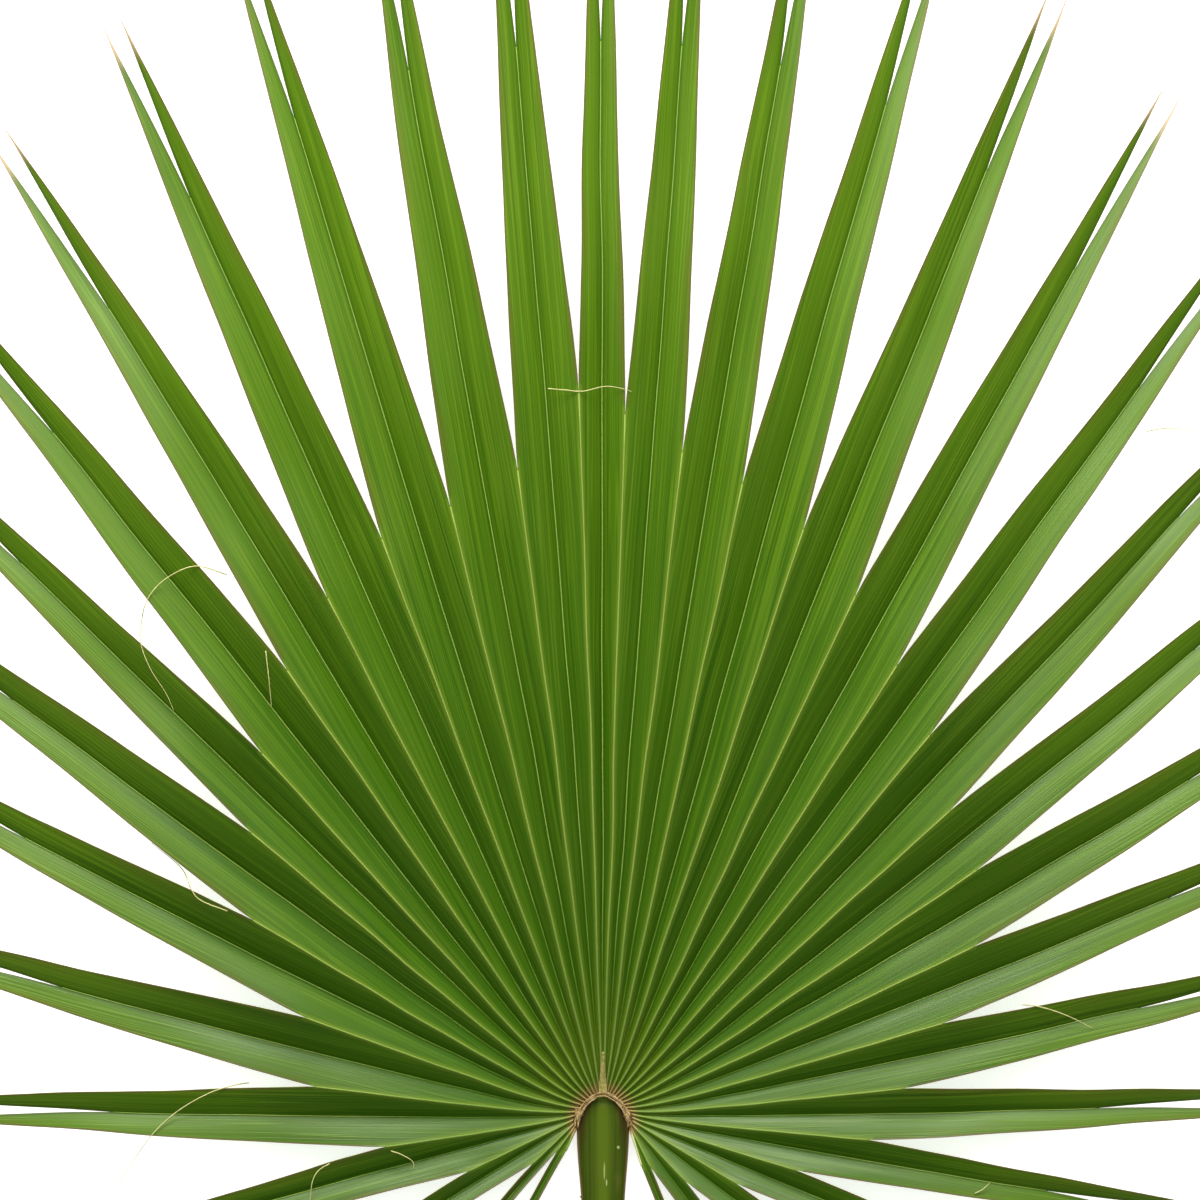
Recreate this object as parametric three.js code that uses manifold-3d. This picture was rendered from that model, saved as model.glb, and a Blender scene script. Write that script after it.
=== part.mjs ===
// A cut fan palm leaf lying face up: a pleated, palmate blade on a toothed stalk, with the fibrous crest
// (hastula) where they meet and the loose fibres that peel from the blade's margins.
// Millimetres, +Z up. +Y runs from the stalk to the tip of the middle segment, and the surface that the
// leaf lies on is Z = 0. Inside the model the hub, where all folds meet, is at X = Y = 0; the group is
// then moved so that its origin is the centre of the leaf's own footprint.
import * as THREE from "three";
import { mergeVertices } from "three/addons/utils/BufferGeometryUtils.js";
import Module from "manifold-3d";

// ---- Driving dimensions --------------------------------------------------------------------------

const BLADE_REACH = 600; // hub to the tip of the middle segment
const SHORTEST_SHARE = 0.42; // reach of the segments beside the stalk, as a share of BLADE_REACH
const REACH_FALL = 2.1; // how quickly the segments shorten away from the middle one
const BLADE_THICKNESS = 0.8;
const FOLD_SLOPE = 30; // degrees that each half of a pleat rises from its midrib
const HUB_FOLD = 0.8; // extra depth of the pleats where they are gathered at the hub
const HUB_FOLD_LENGTH = 40; // how far from the hub that extra depth fades out
const HUB_HEIGHT = 7.5; // top of the midribs at the rim, above the surface
const ARCH_SHARE = 0.075; // height of a segment's arch, as a share of its reach
const TIP_LIFT = 14; // how far at most a segment's tip stands clear of the surface
const TIP_OFFSET = 4.5; // each of a segment's two points, from its midrib line
const NARROW_GROWTH = 1.5; // how much a narrow segment widens from its sinus to its tip, at most
const MARGIN_TAPER = 1.3; // exponent of the margins' taper: 1 would be straight
const SPLIT_OPENING = 1.2; // exponent of the opening of a split tip
const FOLD_BOW = 4; // how far the side folds bow outwards near the hub
const FOLD_BOW_LENGTH = 15; // and how quickly

const RIM_HALF_WIDTH = 12.8; // the arched end of the stalk that the folds spring from
const RIM_FOOT_Y = -6;
const RIM_HEIGHT = 16.3;
const RIM_POINTEDNESS = 1.25;
const GAP = 0.3; // between neighbouring solids

const STALK_LENGTH = 320; // hub to the cut
const STALK_HALF_WIDTH = 10;
const STALK_HEIGHT = 10.5;
const STALK_FOOT_HALF_WIDTH = 1.6; // the flat along its underside, which the stalk rests on
const TOOTH_PITCH = 34;
const TOOTH_LENGTH = 2.6;
const TOOTH_WIDTH = 3.2;

const CREST_HALF_WIDTH = 1.1;
const CREST_HEIGHT = 2.2;
const TONGUE_LENGTH = 20;
const TONGUE_HALF_WIDTH = 2.1;
const TONGUE_PLEAT_HALF_WIDTH = 1.5; // of the pleats that the tongue lies over

const FIBRE_RADIUS = 0.3;
const FIBRE_CLEARANCE = 0.8; // of a fibre's centre line above the crests of the pleats
const FIBRE_SPAN = 10; // how far along a fibre the same crest still holds it up
const FIBRE_STEP = 6;
const FIBRE_SIDES = 6;

// ---- The fan's plan ------------------------------------------------------------------------------

// One row for each segment, from the middle of the leaf outwards: the bearing of its tip, then the
// bearing of the sinus on its outer side and that sinus's distance from the hub. Bearings are degrees
// from +Y, and the last row on each side ends in the leaf's free margin.
const MIDDLE_SEGMENT = { tip: -0.1, leftSinus: [-1.9, 344], rightSinus: [1.8, 333] };
const RIGHT_SEGMENTS = [
  [4.2, 6.8, 317], [9.6, 12.4, 307], [15.7, 18.8, 294], [22.1, 25.8, 274], [29.1, 33, 255],
  [36.2, 40.5, 238], [43.7, 48.5, 219], [51.3, 56.5, 212], [59.6, 65.3, 193], [68.2, 74.6, 167],
  [78, 84.6, 143], [88.6, 95, 126], [99.6, 105.6, 95], [110, 116.8, 71], [123, 128.4, 50],
  [139, 137.3, 33], [157, 142.4, 30],
];
const LEFT_SEGMENTS = [
  [4.7, 7.5, 309], [10.4, 14, 298], [17.2, 20.9, 293], [24.2, 27.9, 278], [31.7, 35.2, 259],
  [39, 43.1, 236], [46.3, 51, 214], [54.4, 60.6, 190], [63.4, 71.5, 148], [76, 84, 137],
  [89.3, 97.9, 104], [104.6, 112.3, 69], [121, 124.3, 40], [145, 127.5, 27], [152, 133.5, 24.2],
];

// Stations along each half segment, as shares of its three stretches.
const UNITED_STATIONS = [0, 0.07, 0.2, 0.5, 1]; // rim to sinus
const FREE_STATIONS = [0.25, 0.5, 0.75, 1]; // sinus to the split of the tip
const SPLIT_STATIONS = [0.4, 0.75, 1]; // split to tip

// The fibres' routes in plan, each from the end that is still attached.
const FIBRE_ROUTES = [
  [[-26, 345], [-18, 344.3], [-9.5, 343.7], [1, 346], [9, 345], [13.5, 343.5]],
  [[-178, 257], [-193, 261], [-207, 255], [-215.5, 245.5], [-218.7, 233.5], [-218.5, 223.5],
    [-214, 212], [-207, 201], [-203.3, 192.8]],
  [[-159.5, 221], [-158, 207], [-156.8, 194]],
  [[-177.7, 97.7], [-190, 102.6], [-194.7, 107.6], [-199.6, 117.8], [-214, 130]],
  [[-168, 16], [-175.3, 14.9], [-187.5, 10.9], [-202, 2.4], [-214.2, -9], [-226, -26], [-233, -37]],
  [[-129.5, -22.2], [-134.6, -25.3], [-137.7, -30.5], [-139, -40.5]],
  [[-100.7, -16.2], [-95.5, -18], [-90.2, -21.4], [-90, -25]],
  [[198.5, 53.3], [208, 52], [220, 48], [232.3, 41.9]],
  [[176.4, -36.5], [180.2, -34.5], [183.6, -31.4]],
  [[258, 325], [267, 326.5], [276, 326], [287, 324]],
];

const radians = THREE.MathUtils.degToRad;
const lerp = THREE.MathUtils.lerp;
const smoothstep = THREE.MathUtils.smoothstep;

function fromBearing(bearing, distance) {
  const a = radians(bearing);
  return new THREE.Vector2(Math.sin(a), Math.cos(a)).multiplyScalar(distance);
}

// How far a segment with this bearing reaches from the hub: longest in the middle.
function reachAt(bearing) {
  const frontness = (1 + Math.cos(radians(bearing))) / 2;
  return BLADE_REACH * (SHORTEST_SHARE + (1 - SHORTEST_SHARE) * frontness ** REACH_FALL);
}

// The share of a segment's reach at which it splits into its two points.
function splitShareAt(bearing) {
  return 0.86 - 0.15 * smoothstep(Math.abs(bearing), 15, 75);
}

// The top of the midribs over the surface: each segment leaves the rim, arches, and droops until the
// two points of its tip touch the surface.
function midribHeight(point) {
  const bearing = THREE.MathUtils.radToDeg(Math.atan2(point.x, point.y));
  const rim = RIM_FOOT_Y + RIM_HEIGHT;
  const span = reachAt(bearing) - rim;
  const share = THREE.MathUtils.clamp((point.length() - rim) / span, 0, 1);
  const arch = ARCH_SHARE * span * 4 * share * (1 - share);
  const tip = BLADE_THICKNESS - foldHeight(TIP_OFFSET, reachAt(bearing));
  return lerp(HUB_HEIGHT, tip, share) + arch;
}

// A segment's own habit, from 0 to 1: neighbours differ, and a few stay close to 0.
function habitOf(index) {
  const goldenAngle = 2.4;
  return (1 + Math.sin(goldenAngle * index)) / 2;
}

// How far the top of a pleat stands over its midrib, at this half width and distance from the hub.
function foldHeight(halfWidth, distance) {
  const gathered = HUB_FOLD * Math.max(0, 1 - distance / HUB_FOLD_LENGTH);
  return halfWidth * Math.tan(radians(FOLD_SLOPE)) + gathered;
}

// A point of the arched rim that the folds spring from: -1 is its left foot, 0 its crown, 1 its right foot.
function rimPoint(place, inset = 0) {
  const turn = (Math.abs(place) * Math.PI) / 2;
  const x = (RIM_HALF_WIDTH - inset) * Math.sin(turn) ** RIM_POINTEDNESS;
  const y = RIM_FOOT_Y + (RIM_HEIGHT - inset) * Math.cos(turn);
  return new THREE.Vector2(Math.sign(place) * x, y);
}

// The folds (the crests between segments) and the segments, from the leaf's left margin to its right.
function fanPlan() {
  const side = (rows, sign) =>
    rows.map(([tip, bearing, distance], i) => ({
      tip: sign * tip,
      fold: {
        sinus: fromBearing(sign * bearing, distance),
        place: (sign * (i + 1.5)) / (rows.length + 0.5),
      },
    }));
  const left = side(LEFT_SEGMENTS, -1).reverse();
  const right = side(RIGHT_SEGMENTS, 1);
  const middle = [
    { sinus: fromBearing(...MIDDLE_SEGMENT.leftSinus), place: -0.5 / (left.length + 0.5) },
    { sinus: fromBearing(...MIDDLE_SEGMENT.rightSinus), place: 0.5 / (right.length + 0.5) },
  ];
  return {
    folds: [...left.map((s) => s.fold), ...middle, ...right.map((s) => s.fold)],
    tips: [...left.map((s) => s.tip), MIDDLE_SEGMENT.tip, ...right.map((s) => s.tip)],
  };
}

// A point of a fold between the rim and its sinus, bowed outwards near the hub.
function foldPoint(fold, share) {
  const start = rimPoint(fold.place);
  const along = fold.sinus.clone().sub(start);
  const length = along.length();
  const bearing = Math.atan2(along.x, along.y);
  const outward = new THREE.Vector2(Math.cos(bearing), -Math.sin(bearing));
  const bow = FOLD_BOW * Math.sin(Math.sign(bearing) * Math.min(1.5 * Math.abs(bearing), Math.PI));
  const rise = (1 - Math.exp((-share * length) / FOLD_BOW_LENGTH)) * (1 - share);
  return start.addScaledVector(along, share).addScaledVector(outward, bow * rise);
}

// The place midway between two folds, and the direction in which that line reaches their sinuses.
function betweenFolds(a, b, share) {
  return foldPoint(a, share).lerp(foldPoint(b, share), 0.5);
}

function pleatHeading(a, b) {
  return betweenFolds(a, b, 1).sub(betweenFolds(a, b, 0.5)).normalize();
}

// Half the width of the pleat between two folds, square to its heading.
function pleatHalfWidth(a, b, share) {
  const chord = foldPoint(b, share).sub(foldPoint(a, share));
  return Math.abs(chord.cross(pleatHeading(a, b))) / 2;
}

// ---- The blade -----------------------------------------------------------------------------------

// Collects the plan's points and faces, then closes them into one sheet of even vertical thickness.
class Sheet {
  constructor() {
    this.points = [];
    this.faces = [];
  }

  add(plan, height) {
    this.points.push([plan.x, plan.y, height]);
    return this.points.length - 1;
  }

  // The strip between two rows of points. Each row may end in a point that both share.
  strip(left, right) {
    for (let i = 0; i + 1 < left.length; i++) {
      this.face(left[i], right[i], right[i + 1]);
      this.face(left[i], right[i + 1], left[i + 1]);
    }
  }

  face(a, b, c) {
    if (a !== b && b !== c && c !== a) this.faces.push([a, b, c]);
  }

  solid(thickness) {
    const count = this.points.length;
    const lower = this.points.map(([x, y, z]) => [x, y, z - thickness]);
    const triangles = [];
    const edges = new Map();
    for (const [a, b, c] of this.faces) {
      triangles.push([a, b, c], [c + count, b + count, a + count]);
      for (const [from, to] of [[a, b], [b, c], [c, a]]) edges.set(from + "," + to, [from, to]);
    }
    for (const [from, to] of edges.values()) {
      if (edges.has(to + "," + from)) continue;
      triangles.push([to, from, from + count], [to, from + count, to + count]);
    }
    const geometry = new THREE.BufferGeometry();
    const coordinates = new Float32Array([...this.points, ...lower].flat());
    geometry.setAttribute("position", new THREE.BufferAttribute(coordinates, 3));
    geometry.setIndex(triangles.flat());
    geometry.computeVertexNormals();
    return geometry;
  }
}

// The free part of a segment's midrib, a quadratic curve from between its sinuses to its tip.
function freeMidrib(start, heading, tip) {
  const control = start.clone().addScaledVector(heading, 0.45 * start.distanceTo(tip));
  const curve = new THREE.QuadraticBezierCurve(start, control, tip);
  return (share) => {
    const along = curve.getTangent(Math.min(share, 0.999));
    return { point: curve.getPoint(share), along, across: new THREE.Vector2(along.y, -along.x) };
  };
}

// A margin's distance from the midrib: it tapers from the sinus, more quickly towards the tip.
function tipOffset(sinusWidth) {
  return Math.min(TIP_OFFSET, NARROW_GROWTH * sinusWidth);
}

function marginWidth(sinusWidth, share) {
  const tipWidth = tipOffset(sinusWidth);
  return tipWidth + (sinusWidth - tipWidth) * (1 - share ** MARGIN_TAPER);
}

function makeBlade() {
  const { folds, tips } = fanPlan();
  const sheet = new Sheet();

  // Crests shared by neighbouring segments, rim to sinus.
  const crestRows = folds.map((fold, i) =>
    UNITED_STATIONS.map((share) => {
      const point = foldPoint(fold, share);
      const neighbours = [folds[i - 1], folds[i + 1]].filter((other) => other);
      const widths = neighbours.map((other) => pleatHalfWidth(fold, other, share));
      const halfWidth = widths.reduce((sum, width) => sum + width) / widths.length;
      return sheet.add(point, midribHeight(point) + foldHeight(halfWidth, point.length()));
    }),
  );

  tips.forEach((tipBearing, i) => {
    const neighbours = [folds[i], folds[i + 1]];
    const rootPoints = UNITED_STATIONS.map((share) => betweenFolds(...neighbours, share));
    const start = rootPoints.at(-1);
    const heading = pleatHeading(...neighbours);
    const tip = fromBearing(tipBearing, reachAt(tipBearing));
    const midrib = freeMidrib(start, heading, tip);
    const splitDistance = splitShareAt(tipBearing) * tip.length();
    const split = (splitDistance - start.length()) / (tip.length() - start.length());
    const freeShares = FREE_STATIONS.map((share) => share * split);
    const splitShares = SPLIT_STATIONS.map((share) => lerp(split, 1, share));

    const liftAt = (share) => TIP_LIFT * habitOf(i) * share ** 2;
    const onMidrib = (point, lift) => sheet.add(point, midribHeight(point) + lift);
    const midribRow = [
      ...rootPoints.map((point) => onMidrib(point, 0)),
      ...freeShares.map((share) => onMidrib(midrib(share).point, liftAt(share))),
    ];

    [-1, 1].forEach((side, half) => {
      const sinus = neighbours[half].sinus.clone().sub(start);
      const lead = sinus.dot(midrib(0).along);
      const sinusWidth = Math.abs(sinus.dot(midrib(0).across));
      const at = (share, width, lead = 0) => {
        const { point, along, across } = midrib(share);
        point.addScaledVector(across, side * width).addScaledVector(along, lead);
        const height = midribHeight(point) + foldHeight(width, point.length());
        return sheet.add(point, height + liftAt(share));
      };
      const margin = (share) =>
        at(share, marginWidth(sinusWidth, share), lead * (1 - share) ** 2);
      const innerEdge = (share) =>
        at(share, tipOffset(sinusWidth) * ((share - split) / (1 - split)) ** SPLIT_OPENING);
      const outer = [...crestRows[i + half], ...freeShares.map(margin), ...splitShares.map(margin)];
      const inner = [...midribRow, ...splitShares.slice(0, -1).map(innerEdge), outer.at(-1)];
      if (side < 0) sheet.strip(outer, inner);
      else sheet.strip(inner, outer);
    });
  });
  return sheet.solid(BLADE_THICKNESS);
}

// ---- Solids for the stalk and the crest ----------------------------------------------------------

const wasm = await Module();
wasm.setup();

function toSolid(geometry) {
  const bare = geometry.clone();
  bare.deleteAttribute("normal");
  bare.deleteAttribute("uv");
  const merged = mergeVertices(bare, 1e-4);
  const triVerts = new Uint32Array(merged.index.array);
  const vertProperties = merged.attributes.position.array;
  return new wasm.Manifold(new wasm.Mesh({ numProp: 3, vertProperties, triVerts }));
}

function toGeometry(solid) {
  const mesh = solid.getMesh();
  const geometry = new THREE.BufferGeometry();
  geometry.setAttribute("position", new THREE.BufferAttribute(mesh.vertProperties, 3));
  geometry.setIndex(new THREE.BufferAttribute(mesh.triVerts, 1));
  geometry.computeVertexNormals();
  return geometry;
}

// A closed skin over rings that have the same number of points, with a fan at each end.
function loft(rings) {
  const size = rings[0].length;
  const centre = (ring) =>
    ring.reduce((sum, p) => sum.add(p), new THREE.Vector3()).divideScalar(ring.length);
  const points = [...rings.flat(), centre(rings[0]), centre(rings.at(-1))];
  const lastRing = size * (rings.length - 1);
  const [firstCap, lastCap] = [points.length - 2, points.length - 1];
  const index = [];
  for (let i = 0; i < size; i++) {
    const j = (i + 1) % size;
    for (let r = 0; r < lastRing; r += size)
      index.push(r + i, r + j, r + size + j, r + i, r + size + j, r + size + i);
    index.push(firstCap, j, i, lastCap, lastRing + i, lastRing + j);
  }
  const geometry = new THREE.BufferGeometry().setFromPoints(points);
  geometry.setIndex(index);
  geometry.computeVertexNormals();
  return geometry;
}

// ---- The stalk -----------------------------------------------------------------------------------

// The stalk's half width: it widens to the rim's feet, and follows the rim to its crown.
function stalkHalfWidth(y) {
  const clear = RIM_HALF_WIDTH - GAP;
  if (y < RIM_FOOT_Y) return lerp(clear, STALK_HALF_WIDTH, smoothstep(RIM_FOOT_Y - y, 0, 45));
  const up = (y - RIM_FOOT_Y) / (RIM_HEIGHT - GAP);
  return clear * Math.max(0, 1 - up * up) ** (RIM_POINTEDNESS / 2);
}

// The stalk's section is flat below, rounded up to its sharp edges, and faintly channelled on top.
function stalkRing(y, halfWidth) {
  const foot = Math.min(STALK_FOOT_HALF_WIDTH, halfWidth / 3);
  const half = [
    [foot, 0],
    [0.62 * halfWidth, 0.14 * STALK_HEIGHT],
    [0.9 * halfWidth, 0.42 * STALK_HEIGHT],
    [halfWidth, 0.78 * STALK_HEIGHT],
    [0.86 * halfWidth, 0.97 * STALK_HEIGHT],
    [0.45 * halfWidth, 0.93 * STALK_HEIGHT],
  ];
  const mirrored = half.map(([x, z]) => [-x, z]).reverse();
  return [...half, ...mirrored].map(([x, z]) => new THREE.Vector3(x, y, z));
}

function makeStalk() {
  const along = [-STALK_LENGTH, -220, -120, -50, -28, -14, RIM_FOOT_Y, -2, 3, 6.5, 8.8, 9.8];
  const rings = along.map((y) => stalkRing(y, stalkHalfWidth(y)));
  let stalk = toSolid(loft(rings.reverse()));
  for (const side of [-1, 1]) {
    // The teeth on the two edges stand opposite the gaps between each other.
    for (let y = side < 0 ? -39 : -56; y > 20 - STALK_LENGTH; y -= TOOTH_PITCH) {
      const tooth = new THREE.ConeGeometry(TOOTH_WIDTH / 2, TOOTH_LENGTH + 2, 6);
      tooth.rotateZ((-side * Math.PI) / 2 - side * 0.35);
      tooth.translate(side * (stalkHalfWidth(y) + TOOTH_LENGTH / 2 - 1), y, 0.78 * STALK_HEIGHT);
      stalk = stalk.add(toSolid(tooth));
    }
  }
  return toGeometry(stalk);
}

// ---- The crest -----------------------------------------------------------------------------------

// The band that stands over the rim from foot to foot, with the tongue that runs on from its crown.
function makeCrest() {
  const bottom = STALK_HEIGHT + GAP;
  const section = [
    [-1, 0], [1, 0], [0.8, 0.7], [0.1, 1], [-0.7, 0.75],
  ];
  const rings = [];
  for (let i = -8; i <= 8; i++) {
    const place = i / 8;
    const here = rimPoint(place);
    const ahead = rimPoint(Math.min(place + 0.02, 1)).sub(rimPoint(Math.max(place - 0.02, -1)));
    const out = new THREE.Vector2(-ahead.y, ahead.x).normalize();
    const size = 1 - 0.25 * Math.abs(place);
    rings.push(
      section.map(([across, up]) => {
        const point = here.clone().addScaledVector(out, across * CREST_HALF_WIDTH * size);
        return new THREE.Vector3(point.x, point.y, bottom + up * CREST_HEIGHT * size);
      }),
    );
  }
  const crown = RIM_FOOT_Y + RIM_HEIGHT;
  const tongue = [0, 0.35, 0.7, 1].map((share) => {
    const halfWidth = TONGUE_HALF_WIDTH * (1 - 0.85 * share);
    const y = crown + share * TONGUE_LENGTH;
    const plan = new THREE.Vector2(0, y);
    const pleatTop = midribHeight(plan) + foldHeight(TONGUE_PLEAT_HALF_WIDTH, y);
    const base = Math.max(bottom, pleatTop + GAP);
    const ridge = base + lerp(CREST_HEIGHT, 0.4, share);
    const corners = [[-halfWidth, base], [halfWidth, base], [0, ridge]];
    return corners.map(([x, z]) => new THREE.Vector3(x, y, z));
  });
  const band = toSolid(loft(rings));
  return toGeometry(band.add(toSolid(loft(tongue.reverse()))));
}

// ---- The fibres ----------------------------------------------------------------------------------

// The top of the blade at a place in plan, or the height of the nearby midribs over an open gap.
function bladeTop(blade, place) {
  const above = new THREE.Vector3(place.x, place.y, BLADE_REACH);
  const [hit] = new THREE.Raycaster(above, new THREE.Vector3(0, 0, -1)).intersectObject(blade);
  return hit ? hit.point.z : midribHeight(new THREE.Vector2(place.x, place.y));
}

// A fibre lies across the blade from crest to crest: everywhere along it, it is held up by the highest
// part of the blade within FIBRE_SPAN of there.
function makeFibre(route, blade) {
  const plan = new THREE.CatmullRomCurve3(
    route.map(([x, y]) => new THREE.Vector3(x, y, 0)), false, "centripetal",
  );
  const tops = plan
    .getSpacedPoints(Math.ceil(plan.getLength()))
    .map((place) => bladeTop(blade, place));
  const steps = Math.ceil(plan.getLength() / FIBRE_STEP);
  const places = plan.getSpacedPoints(steps).map((place, i) => {
    const middle = Math.round((i / steps) * (tops.length - 1));
    const near = tops.slice(Math.max(middle - FIBRE_SPAN, 0), middle + FIBRE_SPAN + 1);
    return place.setZ(Math.max(...near) + FIBRE_CLEARANCE);
  });
  const path = new THREE.CatmullRomCurve3(places, false, "centripetal");
  const section = new THREE.Shape(
    Array.from({ length: FIBRE_SIDES }, (_, i) => {
      const turn = (i / FIBRE_SIDES) * 2 * Math.PI;
      return new THREE.Vector2(Math.cos(turn), Math.sin(turn)).multiplyScalar(FIBRE_RADIUS);
    }),
  );
  return new THREE.ExtrudeGeometry(section, { steps, extrudePath: path, bevelEnabled: false });
}

// ---- Materials and assembly ----------------------------------------------------------------------

const material = (color, roughness) =>
  new THREE.MeshStandardMaterial({ color, roughness, metalness: 0 });
const bladeGreen = material(0x4f7d1c, 0.5);
const stalkGreen = material(0x42660a, 0.45);
const crestTan = material(0xa88a55, 0.85);
const fibreStraw = material(0xb9b56a, 0.7);

function part(name, geometry, finish) {
  const mesh = new THREE.Mesh(geometry, finish);
  mesh.name = name;
  return mesh;
}

const leaf = new THREE.Group();
const blade = part("blade", makeBlade(), bladeGreen);
leaf.add(blade);
leaf.add(part("petiole", makeStalk(), stalkGreen));
leaf.add(part("hastula", makeCrest(), crestTan));
FIBRE_ROUTES.forEach((route, i) =>
  leaf.add(part(`fibre_${i + 1}`, makeFibre(route, blade), fibreStraw)),
);

// The origin is the centre of the footprint, on the surface that the leaf lies on.
const footprint = new THREE.Box3().setFromObject(leaf, true);
const centre = footprint.getCenter(new THREE.Vector3());
leaf.position.set(-centre.x, -centre.y, -footprint.min.z);

export default leaf;
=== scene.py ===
"""Looks for the fan palm leaf: its pleated blade with ribs, toothed stalk, torn crest and loose fibres.

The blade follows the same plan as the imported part: the dimensions and the plan's functions repeat it in
millimetres, with the hub at x = y = 0 and the surface that the leaf lies on at z = 0.
"""

import bmesh
import bpy
import numpy as np
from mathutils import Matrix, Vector, noise
from mathutils.bvhtree import BVHTree


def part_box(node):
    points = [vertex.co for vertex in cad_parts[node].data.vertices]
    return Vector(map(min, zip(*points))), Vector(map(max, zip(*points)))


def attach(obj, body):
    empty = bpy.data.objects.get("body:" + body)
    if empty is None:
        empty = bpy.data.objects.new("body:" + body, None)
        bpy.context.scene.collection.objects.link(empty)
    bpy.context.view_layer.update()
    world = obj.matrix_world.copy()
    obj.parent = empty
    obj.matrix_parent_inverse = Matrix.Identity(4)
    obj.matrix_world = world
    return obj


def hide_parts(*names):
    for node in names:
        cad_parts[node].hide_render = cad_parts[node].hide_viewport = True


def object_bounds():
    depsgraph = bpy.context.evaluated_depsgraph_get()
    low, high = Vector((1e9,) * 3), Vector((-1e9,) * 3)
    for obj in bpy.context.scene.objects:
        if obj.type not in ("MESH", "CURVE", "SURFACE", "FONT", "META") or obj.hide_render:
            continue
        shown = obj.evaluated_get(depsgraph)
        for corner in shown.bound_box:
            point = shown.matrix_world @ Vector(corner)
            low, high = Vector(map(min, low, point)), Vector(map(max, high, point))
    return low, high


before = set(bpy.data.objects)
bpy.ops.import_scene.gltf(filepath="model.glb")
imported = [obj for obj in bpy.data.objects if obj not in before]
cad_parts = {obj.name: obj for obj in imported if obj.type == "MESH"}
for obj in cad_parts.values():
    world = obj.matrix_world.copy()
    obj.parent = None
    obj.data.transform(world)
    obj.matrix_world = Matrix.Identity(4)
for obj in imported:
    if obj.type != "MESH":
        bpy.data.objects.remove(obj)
CAD_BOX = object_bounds()
MM = 0.001

# ---- Driving dimensions of the leaf, in millimetres and degrees ----

BLADE_REACH = 600  # from the hub to the tip straight ahead
SHORTEST_SHARE = 0.42  # the share of that which a tip straight back would reach
REACH_FALL = 2.1  # how fast the reach falls towards the sides
FRONT_SPLIT = 0.86  # the share of its reach where a front tip splits
SIDE_SPLIT_DROP = 0.15  # how much earlier the side tips split
SPLIT_DROP_BEARINGS = (15, 75)
FOLD_SLOPE = 30
HUB_FOLD = 0.8  # extra height of the pleats at the hub
HUB_FOLD_LENGTH = 40
HUB_HEIGHT = 7.5
ARCH_SHARE = 0.075  # height of the arch, as a share of its span
TIP_CLEARANCE = 0.8  # of a tip's points over the surface
TIP_LIFT = 14  # how far above that some tips stand
POINT_DROOP = 4  # how far one point of a tip may stand over the other
TIP_OFFSET = 4.5  # from a midrib's end to the points beside it
NARROW_GROWTH = 1.5  # the most that offset may be, in half widths at the sinuses
MARGIN_TAPER = 1.3
SPLIT_OPENING = 1.2
LINE_BEND = 0.45  # the share of the way to its tip over which a segment keeps its heading
FOLD_BOW = 4  # how far the side folds bow outwards near the hub
FOLD_BOW_LENGTH = 15
RIM_HALF_WIDTH = 12.8
RIM_FOOT_Y = -6
RIM_HEIGHT = 16.3
RIM_POINTEDNESS = 1.25
RIM_DISTANCE = RIM_FOOT_Y + RIM_HEIGHT  # from the hub to the rim's crown
STALK_LENGTH = 320
STALK_HALF_WIDTH = 10
STALK_HEIGHT = 10.5

# Each row: the bearing of a segment's tip, then the bearing and distance of its outer sinus.
MIDDLE_TIP, LEFT_SINUS, RIGHT_SINUS = -0.1, (-1.9, 344), (1.8, 333)
RIGHT_SEGMENTS = [
    (4.2, 6.8, 317), (9.6, 12.4, 307), (15.7, 18.8, 294), (22.1, 25.8, 274), (29.1, 33, 255),
    (36.2, 40.5, 238), (43.7, 48.5, 219), (51.3, 56.5, 212), (59.6, 65.3, 193), (68.2, 74.6, 167),
    (78, 84.6, 143), (88.6, 95, 126), (99.6, 105.6, 95), (110, 116.8, 71), (123, 128.4, 50),
    (139, 137.3, 33), (157, 142.4, 30),
]
LEFT_SEGMENTS = [
    (4.7, 7.5, 309), (10.4, 14, 298), (17.2, 20.9, 293), (24.2, 27.9, 278), (31.7, 35.2, 259),
    (39, 43.1, 236), (46.3, 51, 214), (54.4, 60.6, 190), (63.4, 71.5, 148), (76, 84, 137),
    (89.3, 97.9, 104), (104.6, 112.3, 69), (121, 124.3, 40), (145, 127.5, 27), (152, 133.5, 24.2),
]

FIBRE_ROUTES = [
    [(-26, 345), (-18, 344.3), (-9.5, 343.7), (1, 346), (9, 345), (13.5, 343.5)],
    [(-178, 257), (-193, 261), (-207, 255), (-215.5, 245.5), (-218.7, 233.5), (-218.5, 223.5),
     (-214, 212), (-207, 201), (-203.3, 192.8)],
    [(-159.5, 221), (-158, 207), (-156.8, 194)],
    [(-177.7, 97.7), (-190, 102.6), (-194.7, 107.6), (-199.6, 117.8), (-214, 130)],
    [(-168, 16), (-175.3, 14.9), (-187.5, 10.9), (-202, 2.4), (-214.2, -9), (-226, -26), (-233, -37)],
    [(-129.5, -22.2), (-134.6, -25.3), (-137.7, -30.5), (-139, -40.5)],
    [(-100.7, -16.2), (-95.5, -18), (-90.2, -21.4), (-90, -25)],
    [(198.5, 53.3), (208, 52), (220, 48), (232.3, 41.9)],
    [(176.4, -36.5), (180.2, -34.5), (183.6, -31.4)],
    [(258, 325), (267, 326.5), (276, 326), (287, 324)],
]

# ---- Finer dimensions of the blade ----

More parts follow.
